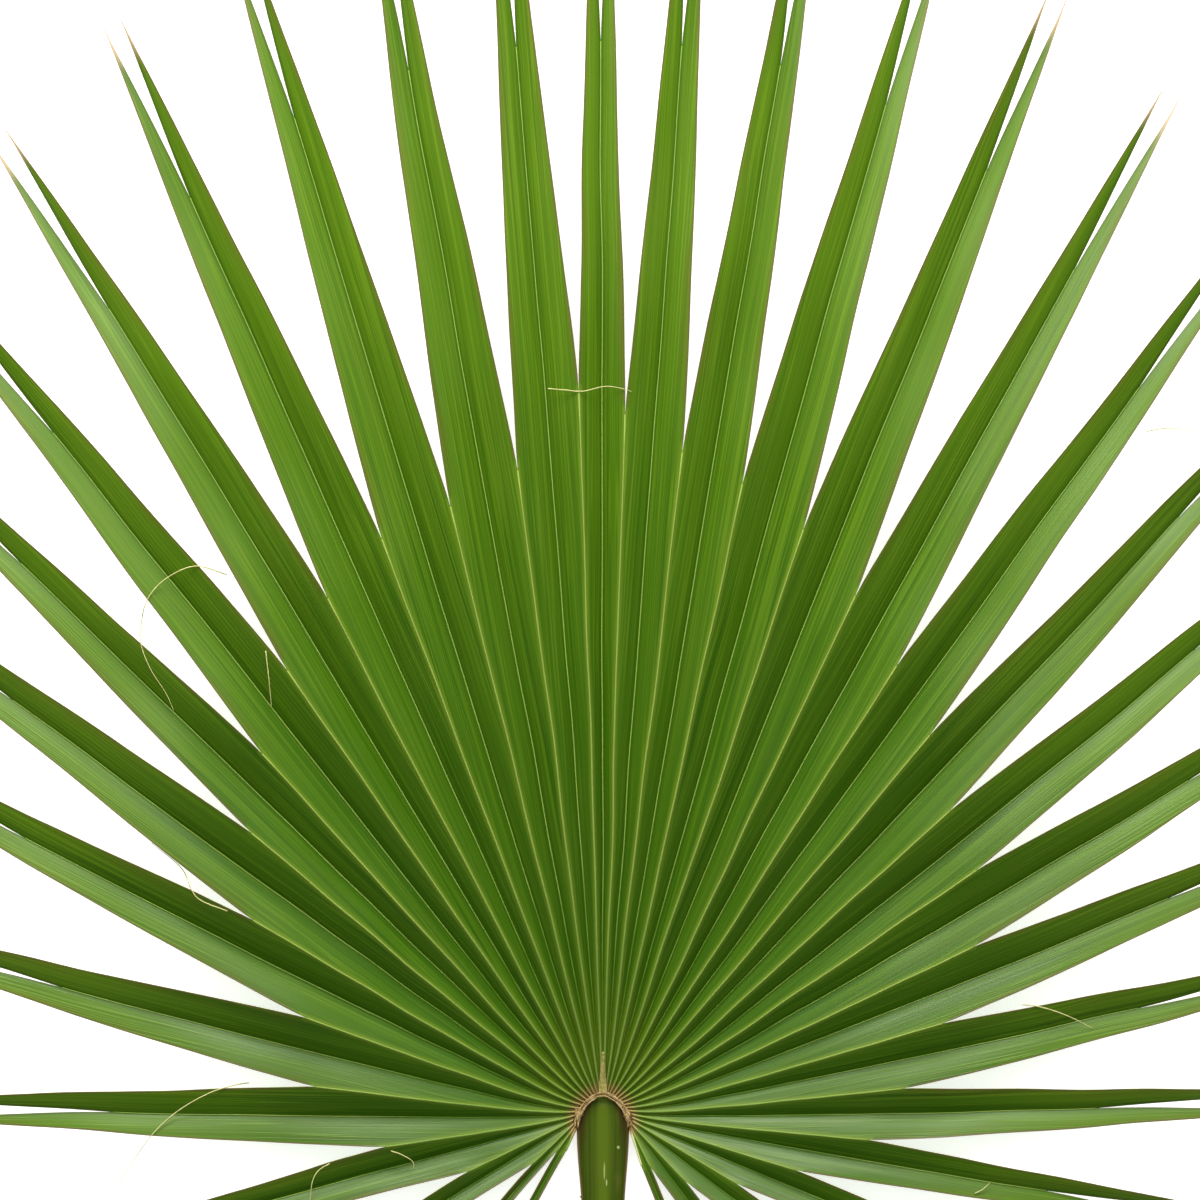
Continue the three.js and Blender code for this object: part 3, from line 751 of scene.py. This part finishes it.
def add_tongue(builder):
    """The slender pale spike on from the crown, with its raised edges."""
    y = np.linspace(RIM_DISTANCE - TONGUE_ROOT, RIM_DISTANCE + TONGUE_LENGTH, 30)
    share = np.linspace(0, 1, len(y))
    height = np.maximum(midrib_height(np.stack([0 * y, y], -1)) + TONGUE_RISE, STALK_HEIGHT + 0.3)
    x = 0.25 * np.array([wobble(v / 6, 2) for v in y])
    path = np.stack([x, y, height], -1)
    radius = TONGUE_RADIUS * (1 - share) ** 0.6 + TONGUE_TIP_RADIUS
    add_tube(builder, path, radius, 10, flatness=0.55, slot=2)
    for side in (-1, 1):
        edge = path + np.stack([side * radius * 0.95, 0 * y, 0.1 - 0.2 * share], -1)
        add_tube(builder, edge, TONGUE_EDGE_RADIUS * (1 - 0.6 * share), 6, slot=1)


# ---- The loose fibres ----

FIBRE_RADIUS = 0.27
FIBRE_TAPER = 0.55
FIBRE_CLEARANCE = 0.55
FIBRE_SPAN = 8  # millimetres to either side whose highest place holds it up
FIBRE_SMOOTHING = 4  # and over which its height is averaged


def blade_tree(blade):
    mesh = blade.data
    return BVHTree.FromPolygons([v.co for v in mesh.vertices], [p.vertices for p in mesh.polygons])


def blade_top(tree, place):
    """The blade's top over a place in plan, or the midribs' height over an open gap."""
    above = HUB + np.array([*place, BLADE_REACH]) * MM
    hit = tree.ray_cast(Vector(above), Vector((0, 0, -1)))[0]
    return (hit.z - HUB[2]) / MM if hit else float(midrib_height(np.asarray(place)))


def draped_height(tree, plan):
    """The height of a stiff fibre bridging the pleats under its route."""
    tops = np.array([blade_top(tree, place) for place in plan])
    held = np.array([tops[max(k - FIBRE_SPAN, 0) : k + FIBRE_SPAN + 1].max() for k in range(len(plan))])
    count = 2 * FIBRE_SMOOTHING + 1
    padded = np.pad(held, FIBRE_SMOOTHING, mode="edge")
    return np.convolve(padded, np.ones(count) / count, mode="valid") + FIBRE_CLEARANCE


def build_fibres(blade, material):
    tree = blade_tree(blade)
    for i, route in enumerate(FIBRE_ROUTES, 1):
        plan = smooth_path(route, 1.0)
        path = np.concatenate([plan, draped_height(tree, plan)[:, None]], -1)
        builder = Builder("round")
        taper = 1 - FIBRE_TAPER * np.linspace(0, 1, len(path)) ** 2
        add_tube(builder, path, FIBRE_RADIUS * taper, 6)
        builder.build(f"loose_fibre_{i}", [material], "fibre", [f"fibre_{i}"])


# ---- Materials ----

DEEP_GREEN = (0.022, 0.080, 0.0004)
LEAF_GREEN = (0.060, 0.150, 0.0008)
VEIN_GREEN = (0.12, 0.23, 0.006)
OLIVE_GREEN = (0.080, 0.125, 0.001)
YELLOW_GREEN = (0.16, 0.235, 0.015)
BACK_GREEN = (0.13, 0.23, 0.05)
HUB_BROWN = (0.115, 0.058, 0.008)
MARGIN_BROWN = (0.12, 0.078, 0.03)
STREAK_BROWN = (0.10, 0.088, 0.006)
DRY_TAN = (0.42, 0.31, 0.18)

RIB_GREEN = (0.15, 0.26, 0.04)
RIB_YELLOW = (0.23, 0.34, 0.06)
RIB_CREAM = (0.55, 0.56, 0.27)
RIB_TAN = (0.36, 0.25, 0.09)
MIDRIB_GREEN = (0.23, 0.35, 0.06)

STALK_DARK, STALK_GREEN = (0.032, 0.060, 0.0005), (0.052, 0.088, 0.0008)
# The painted highlight along the rounded stalk's middle and the painted shade on its flanks.
STALK_PAINTED_HIGHLIGHT = (0.085, 0.14, 0.002)
STALK_PAINTED_SHADE = (0.020, 0.030, 0.0005)
STALK_SHOULDER = (0.035, 0.018, 0.003)
STALK_EDGE = (0.16, 0.085, 0.03)
STALK_PATCH = (0.12, 0.10, 0.02)
SCAR_PALE = (0.30, 0.36, 0.13)
PITH_GREEN, PITH_PALE = (0.42, 0.44, 0.20), (0.55, 0.52, 0.30)
BUNDLE_BROWN = (0.22, 0.17, 0.06)
TOOTH_DARK, TOOTH_RED = (0.10, 0.045, 0.015), (0.28, 0.14, 0.05)

BAND_BROWN, BAND_TAN = (0.085, 0.042, 0.014), (0.30, 0.19, 0.075)
STRAND_BROWN, STRAND_TAN = (0.26, 0.16, 0.06), (0.50, 0.38, 0.18)
TONGUE_OLIVE, TONGUE_TAN = (0.19, 0.19, 0.035), (0.36, 0.32, 0.10)
STRAW_YELLOW, STRAW_PALE = (0.50, 0.47, 0.16), (0.66, 0.64, 0.32)

GLOSS_TINT = (0.97, 1.0, 0.85, 1.0)
FACE_ROUGHNESS, BACK_ROUGHNESS = 0.42, 0.6
CELLS_PER_METRE = 900.0

# Scars on the stalk's face: x, y, half width and half length, in millimetres from the hub.
STALK_SCARS = [(6.0, -15.2, 0.55, 0.75), (0.6, -26.5, 0.3, 4.2), (1.6, -32, 0.35, 1.6)]


class Shader:
    """A Principled material, with short calls for the nodes that drive it."""

    def __init__(self, name, roughness, specular):
        self.material = bpy.data.materials.new(name)
        self.material.use_nodes = True
        self.tree = self.material.node_tree
        self.surface = self.tree.nodes["Principled BSDF"]
        gloss = {"Roughness": roughness, "Specular IOR Level": specular, "Specular Tint": GLOSS_TINT}
        self.set_values(gloss)

    def set_values(self, values):
        for socket, value in values.items():
            self.surface.inputs[socket].default_value = value

    def feed(self, socket, value):
        """Links a socket to a node's output, or sets it to a constant."""
        if isinstance(value, bpy.types.NodeSocket):
            self.tree.links.new(value, socket)
        else:
            socket.default_value = value

    def add(self, kind, inputs, **settings):
        node = self.tree.nodes.new(kind)
        for key, value in settings.items():
            setattr(node, key, value)
        for socket, value in inputs.items():
            self.feed(node.inputs[socket], value)
        return node

    def math(self, operation, a, b=0.0):
        return self.add("ShaderNodeMath", {0: a, 1: b}, operation=operation).outputs[0]

    def uv(self, name):
        return self.add("ShaderNodeUVMap", {}, uv_map=name).outputs[0]

    def place(self):
        """The place on the piece, in metres."""
        return self.add("ShaderNodeTexCoord", {}).outputs["Object"]

    def split(self, vector):
        return self.add("ShaderNodeSeparateXYZ", {0: vector}).outputs

    def noise(self, vector, scale, detail=2, roughness=0.5, shift=(0, 0, 0)):
        """A noise from 0 to 1; scale is one number for each axis of the vector."""
        mapping = {"Vector": vector, "Scale": scale, "Location": shift}
        stretched = self.add("ShaderNodeMapping", mapping).outputs[0]
        inputs = {"Vector": stretched, "Scale": 1.0, "Detail": detail, "Roughness": roughness}
        return self.add("ShaderNodeTexNoise", inputs).outputs["Fac"]

    def ramp(self, value, low, high):
        """0 below low and 1 above high, smoothly; falling where low is the larger."""
        if low > high:
            return self.math("SUBTRACT", 1.0, self.ramp(value, high, low))
        inputs = {"Value": value, "From Min": low, "From Max": high}
        return self.add("ShaderNodeMapRange", inputs, interpolation_type="SMOOTHSTEP").outputs[0]

    def ridge(self, value, width):
        """Thin lines where a noise passes its middle: 1 on a line, 0 at the width from it."""
        distance = self.math("ABSOLUTE", self.math("SUBTRACT", value, 0.5))
        return self.ramp(distance, width, 0.0)

    def mix(self, factor, a, b):
        """Colour a, turning to b as the factor rises."""
        node = self.add("ShaderNodeMix", {0: factor}, data_type="RGBA")
        colours = [socket for socket in node.inputs if socket.type == "RGBA"]
        for socket, value in zip(colours, (a, b)):
            self.feed(socket, (*value, 1) if isinstance(value, tuple) else value)
        return next(socket for socket in node.outputs if socket.type == "RGBA")

    def tint(self, colour, other, amount, *masks):
        """The colour, turned by the amount towards another one where all the masks are 1."""
        mask = masks[0]
        for further in masks[1:]:
            mask = self.math("MULTIPLY", mask, further)
        return self.mix(self.math("MULTIPLY", mask, amount), colour, other)

    def finish(self, colour, roughness=None, bumps=()):
        """Bumps are (height, strength, distance in metres), from the broadest to the finest."""
        inputs = {"Base Color": colour}
        if roughness is not None:
            inputs["Roughness"] = roughness
        for height, strength, distance in bumps:
            bump = {"Height": height, "Strength": strength, "Distance": distance}
            if "Normal" in inputs:
                bump["Normal"] = inputs["Normal"]
            inputs["Normal"] = self.add("ShaderNodeBump", bump).outputs[0]
        for socket, value in inputs.items():
            self.feed(self.surface.inputs[socket], value)
        return self.material


class Sheet:
    """Where a point of the sheet lies (see half_surface), and the noises drawn out along its grain."""

    def __init__(self, s):
        grain = s.uv("grain")
        self.outer, self.inner, _ = s.split(s.uv("edges"))
        self.share, self.kind, _ = s.split(s.uv("place"))
        _, self.along, _ = s.split(grain)
        self.fine = s.noise(grain, (1.6, 0.006, 1), roughness=0.6)
        self.veins = s.ridge(s.noise(grain, (0.6, 0.0035, 1), detail=1, shift=(0, 3, 0)), 0.05)
        self.broad = s.noise(grain, (0.3, 0.003, 1))
        self.patches = s.noise(grain, (0.05, 0.02, 1), detail=3)
        self.blotches = s.noise(grain, (0.16, 0.012, 1), detail=4, roughness=0.6, shift=(0, 0, 5))


def sheet_green(s, sheet, deep, leaf, vein):
    """Bands, patches and veins along the grain, lighter outwards and deeper towards the hub."""
    colour = s.mix(s.ramp(sheet.broad, 0.22, 0.62), deep, leaf)
    colour = s.tint(colour, leaf, 0.45, s.ramp(sheet.patches, 0.4, 0.75))
    colour = s.tint(colour, OLIVE_GREEN, 0.4, s.ramp(sheet.blotches, 0.52, 0.75))
    colour = s.tint(colour, vein, 0.32, s.ramp(sheet.share, 0.45, 0.75))
    colour = s.tint(colour, vein, 0.36, s.ramp(sheet.fine, 0.5, 0.66))
    colour = s.tint(colour, deep, 0.3, s.ramp(sheet.fine, 0.47, 0.32))
    colour = s.tint(colour, vein, 0.7, sheet.veins)
    return s.tint(colour, deep, 0.52, s.ramp(sheet.share, 0.8, 0.12))


def fold_shade_and_colours(s, sheet, colour, deep):
    """Painted shade along the midribs' valleys, yellower beside the joined crests, olive and brown at the
    hub.
    """
    # Painted shade: darker in the valley along each midrib, with a narrow darker band right beside it.
    colour = s.tint(colour, deep, 0.25, s.ramp(sheet.inner, 5.0, 0.3))
    colour = s.tint(colour, deep, 0.5, s.ramp(sheet.inner, 1.5, 0.6))
    joined = s.ramp(sheet.kind, 0.6, 0.2)
    colour = s.tint(colour, YELLOW_GREEN, 0.5, s.ramp(sheet.outer, 2.2, 0.4), joined)
    colour = s.tint(colour, OLIVE_GREEN, 0.6, s.ramp(sheet.share, 0.13, 0.03))
    return s.tint(colour, HUB_BROWN, 0.85, s.ramp(sheet.along, 9, 1))


def margin_colours(s, sheet, colour):
    """Rusty streaks and thin brown rims along the free margins, brown split edges, and dry tips."""
    free = s.ramp(sheet.kind, 0.4, 0.8)
    parted = s.ramp(sheet.kind, 1.4, 1.8)
    rusty = s.ramp(sheet.blotches, 0.42, 0.6)
    colour = s.tint(colour, STREAK_BROWN, 0.3, s.ramp(sheet.outer, 5.5, 0.5), rusty, free)
    colour = s.tint(colour, MARGIN_BROWN, 0.8, s.ramp(sheet.outer, 0.9, 0.3), free)
    colour = s.tint(colour, MARGIN_BROWN, 0.6, s.ramp(sheet.inner, 0.6, 0.2), parted)
    ragged = s.math("MULTIPLY", s.math("SUBTRACT", sheet.fine, 0.5), 0.03)
    return s.mix(s.ramp(s.math("ADD", sheet.share, ragged), 0.955, 0.985), colour, DRY_TAN)


def blade_shader(name, deep, leaf, vein, roughness):
    """The sheet: its green, its folds and margins, and an uneven gloss."""
    s = Shader(name, roughness, specular=0.37)
    sheet = Sheet(s)
    colour = sheet_green(s, sheet, deep, leaf, vein)
    colour = fold_shade_and_colours(s, sheet, colour, deep)
    colour = margin_colours(s, sheet, colour)
    gloss = s.math("ADD", s.math("MULTIPLY", sheet.broad, 0.1), roughness - 0.2)
    gloss = s.math("ADD", gloss, s.math("MULTIPLY", sheet.blotches, 0.3))
    bumps = [(sheet.broad, 0.2, 0.0005), (sheet.fine, 0.12, 0.0002), (sheet.veins, 0.3, 0.0002)]
    return s.finish(colour, gloss, bumps)


def margin_shader():
    """The sheet's edge: brown, greener in places, dry at the tips."""
    s = Shader("margin", 0.7, specular=0.3)
    share, _, _ = s.split(s.uv("place"))
    patches = s.noise(s.uv("grain"), (0.2, 0.08, 1), detail=3)
    colour = s.mix(s.ramp(patches, 0.35, 0.65), MARGIN_BROWN, YELLOW_GREEN)
    colour = s.mix(s.ramp(share, 0.93, 0.98), colour, DRY_TAN)
    return s.finish(colour)


def rib_shader(name, near, far, tan_reach):
    """A rib: tan at the hub, then one colour near it and another far from it."""
    s = Shader(name, 0.5, specular=0.25)
    _, along, _ = s.split(s.uv("round"))
    streaks = s.noise(s.uv("round"), (4, 0.05, 1), detail=3)
    spots = s.noise(s.place(), (60, 60, 60), detail=3)
    outwards = s.math("MULTIPLY", s.ramp(along, 20, 190), 0.7)
    ageing = s.math("ADD", outwards, s.math("MULTIPLY", spots, 0.6))
    colour = s.mix(s.ramp(ageing, 0.2, 0.95), near, far)
    colour = s.tint(colour, far, 0.2, s.ramp(streaks, 0.4, 0.7))
    colour = s.mix(s.ramp(along, tan_reach, tan_reach * 0.15), colour, RIB_TAN)
    return s.finish(colour, bumps=[(streaks, 0.4, 0.0002)])


def scar_mask(s, around, along, scar):
    """1 on one of the stalk's oval scars."""
    x, y, half_width, half_length = scar
    across = s.math("SUBTRACT", s.math("MULTIPLY", around, STALK_HALF_WIDTH), x)
    dx = s.math("DIVIDE", across, half_width)
    dy = s.math("DIVIDE", s.math("SUBTRACT", along, y), half_length)
    distance = s.math("ADD", s.math("MULTIPLY", dx, dx), s.math("MULTIPLY", dy, dy))
    return s.ramp(distance, 1.6, 0.2)


def stalk_shader():
    """Green, with a painted highlight along the middle and painted shade on the flanks, brown edges and
    pale scars.
    """
    s = Shader("stalk_green", 0.4, specular=0.25)
    around, along, _ = s.split(s.uv("round"))
    side = s.math("ABSOLUTE", around)
    place = s.place()
    streaks = s.noise(place, (900, 12, 200), detail=3)
    patches = s.noise(place, (120, 40, 60), detail=3)
    specks = s.noise(place, (700, 90, 90), detail=1)
    colour = s.mix(s.ramp(streaks, 0.35, 0.7), STALK_DARK, STALK_GREEN)
    # Painted highlight along the stalk's rounded middle, then painted shade on its flanks.
    colour = s.tint(colour, STALK_PAINTED_HIGHLIGHT, 0.8, s.ramp(side, 0.5, 0.05))
    colour = s.tint(colour, STALK_PAINTED_SHADE, 0.5, s.ramp(side, 0.55, 0.9))
    colour = s.tint(colour, STALK_SHOULDER, 0.85, s.ramp(side, 0.45, 0.85), s.ramp(along, -22, 1))
    colour = s.tint(colour, STALK_EDGE, 0.75, s.ramp(side, 0.86, 0.98))
    colour = s.tint(colour, STALK_PATCH, 0.4, s.ramp(patches, 0.6, 0.8))
    colour = s.mix(s.ramp(specks, 0.78, 0.82), colour, SCAR_PALE)
    for scar in STALK_SCARS:
        colour = s.mix(scar_mask(s, around, along, scar), colour, SCAR_PALE)
    return s.finish(colour, bumps=[(patches, 0.3, 0.0006), (streaks, 0.35, 0.0002)])


def cut_shader():
    """The cut end: pale, damp pith with the dark ends of its bundles."""
    s = Shader("cut_pith", 0.6, specular=0.4)
    place = s.place()
    voronoi = {"Vector": place, "Scale": CELLS_PER_METRE}
    cells = s.add("ShaderNodeTexVoronoi", voronoi).outputs["Distance"]
    patches = s.noise(place, (250, 250, 250), detail=3)
    colour = s.mix(s.ramp(patches, 0.35, 0.65), PITH_GREEN, PITH_PALE)
    colour = s.mix(s.ramp(cells, 0.32, 0.12), colour, BUNDLE_BROWN)
    return s.finish(colour, bumps=[(cells, 0.5, 0.0003)])


def fibre_shader(name, dark, light, roughness=0.75):
    """Dry plant fibre, mottled along its length."""
    s = Shader(name, roughness, specular=0.25)
    blotches = s.noise(s.place(), (420, 420, 420), detail=4, roughness=0.7)
    lines = s.noise(s.uv("round"), (5, 0.4, 1), detail=3)
    colour = s.mix(s.ramp(blotches, 0.35, 0.65), dark, light)
    colour = s.tint(colour, light, 0.4, s.ramp(lines, 0.55, 0.75))
    return s.finish(colour, bumps=[(blotches, 0.6, 0.0005), (lines, 0.5, 0.0002)])


# ---- Scene, in metres ----

PICTURE_WIDTH = 0.5712  # how much of the leaf the picture takes in
PICTURE_CENTRE = (-0.0014, 0.245)  # of the hub
CAMERA_HEIGHT = 8.0
CAMERA_RANGE = 40
SENSOR = 36.0  # millimetres
LEAF_MIDDLE = (0, 0, 0.03)
LIGHT_COLOUR = (1.0, 0.98, 0.92)
KEY_PLACE, KEY_SIZE, KEY_POWER = (-0.2, 2.3, 1.5), (2.2, 1.2), 112
FILL_PLACE, FILL_SIZE, FILL_POWER = (0, 0.6, 3.0), (2.4, 2.4), 46
# How the surround's strength falls from the horizon upwards.
SURROUND_FALL = {"From Min": 0.1, "From Max": 0.5, "To Min": 1.0, "To Max": 0.22}
FLOOR_REACH = 12.0
FLOOR_GREY, FLOOR_GLOW = 0.82, 0.68


def build_floor():
    mesh = bpy.data.meshes.new("floor")
    corners = [(-1, -1), (1, -1), (1, 1), (-1, 1)]
    level = CAD_BOX[0].z
    mesh.from_pydata([(x * FLOOR_REACH, y * FLOOR_REACH, level) for x, y in corners], [], [(0, 1, 2, 3)])
    shader = Shader("floor_white", 0.9, specular=0.1)
    shader.set_values({"Base Color": (FLOOR_GREY, FLOOR_GREY, FLOOR_GREY, 1)})
    shader.set_values({"Emission Color": (1, 1, 1, 1), "Emission Strength": FLOOR_GLOW})
    mesh.materials.append(shader.material)
    add_object("floor", mesh)


def build_light(name, place, size, power, glossy=True):
    data = bpy.data.lights.new(name, "AREA")
    data.shape = "RECTANGLE"
    data.size, data.size_y = size
    data.energy = power
    data.color = LIGHT_COLOUR
    lamp = add_object(name, data)
    lamp.location = place
    lamp.rotation_euler = (Vector(LEAF_MIDDLE) - Vector(place)).to_track_quat("-Z", "Y").to_euler()
    lamp.visible_glossy = glossy


def build_lights():
    """A soft light from beyond the tips, a wide fill overhead and the surround."""
    build_light("key", KEY_PLACE, KEY_SIZE, KEY_POWER)
    build_light("fill", FILL_PLACE, FILL_SIZE, FILL_POWER, glossy=False)
    build_surround()


def build_surround():
    """A white surround, bright level with the floor and dim overhead, that leaves no glare."""
    world = bpy.data.worlds.new("studio")
    bpy.context.scene.world = world
    world.use_nodes = True
    world.cycles_visibility.glossy = False
    nodes, links = world.node_tree.nodes, world.node_tree.links
    direction = nodes.new("ShaderNodeTexCoord").outputs["Generated"]
    split = nodes.new("ShaderNodeSeparateXYZ")
    links.new(direction, split.inputs[0])
    fall = nodes.new("ShaderNodeMapRange")
    for socket, value in SURROUND_FALL.items():
        fall.inputs[socket].default_value = value
    links.new(split.outputs["Z"], fall.inputs["Value"])
    background = nodes["Background"]
    background.inputs["Color"].default_value = (1, 1, 1, 1)
    links.new(fall.outputs[0], background.inputs["Strength"])


def build_camera():
    """Straight down on the fan."""
    data = bpy.data.cameras.new("camera")
    data.sensor_width = SENSOR
    data.lens = SENSOR * CAMERA_HEIGHT / PICTURE_WIDTH
    data.clip_end = CAMERA_RANGE
    camera = add_object("camera", data)
    camera.location = HUB + (*PICTURE_CENTRE, CAMERA_HEIGHT)
    bpy.context.scene.camera = camera


def build_fan():
    folds, tips = fan_plan()
    segments = [Segment(i, folds[i : i + 2], tip) for i, tip in enumerate(tips)]
    face = blade_shader("leaf_face", DEEP_GREEN, LEAF_GREEN, VEIN_GREEN, FACE_ROUGHNESS)
    back = blade_shader("leaf_back", LEAF_GREEN, BACK_GREEN, VEIN_GREEN, BACK_ROUGHNESS)
    blade, lines = build_blade(segments, [face, back, margin_shader()])
    crest_rib = rib_shader("crest_rib", RIB_GREEN, RIB_YELLOW, 9)
    pale_rib = rib_shader("pale_rib", RIB_CREAM, RIB_YELLOW, 5)
    midrib = rib_shader("midrib", LEAF_GREEN, MIDRIB_GREEN, 9)
    keel = rib_shader("keel", BACK_GREEN, YELLOW_GREEN, 14)
    build_ribs(lines, [crest_rib, pale_rib], midrib, keel)
    return blade


def build_leaf():
    blade = build_fan()
    tooth = fibre_shader("tooth", TOOTH_DARK, TOOTH_RED, roughness=0.45)
    build_stalk(stalk_shader(), cut_shader(), tooth)
    band = fibre_shader("crest_band", BAND_BROWN, BAND_TAN)
    strand = fibre_shader("crest_strand", STRAND_BROWN, STRAND_TAN)
    tongue = fibre_shader("crest_tongue", TONGUE_OLIVE, TONGUE_TAN)
    build_crest(band, strand, tongue)
    build_fibres(blade, fibre_shader("straw", STRAW_YELLOW, STRAW_PALE))


build_camera()
build_lights()
build_floor()
build_leaf()
bpy.context.scene.view_settings.view_transform = "Standard"
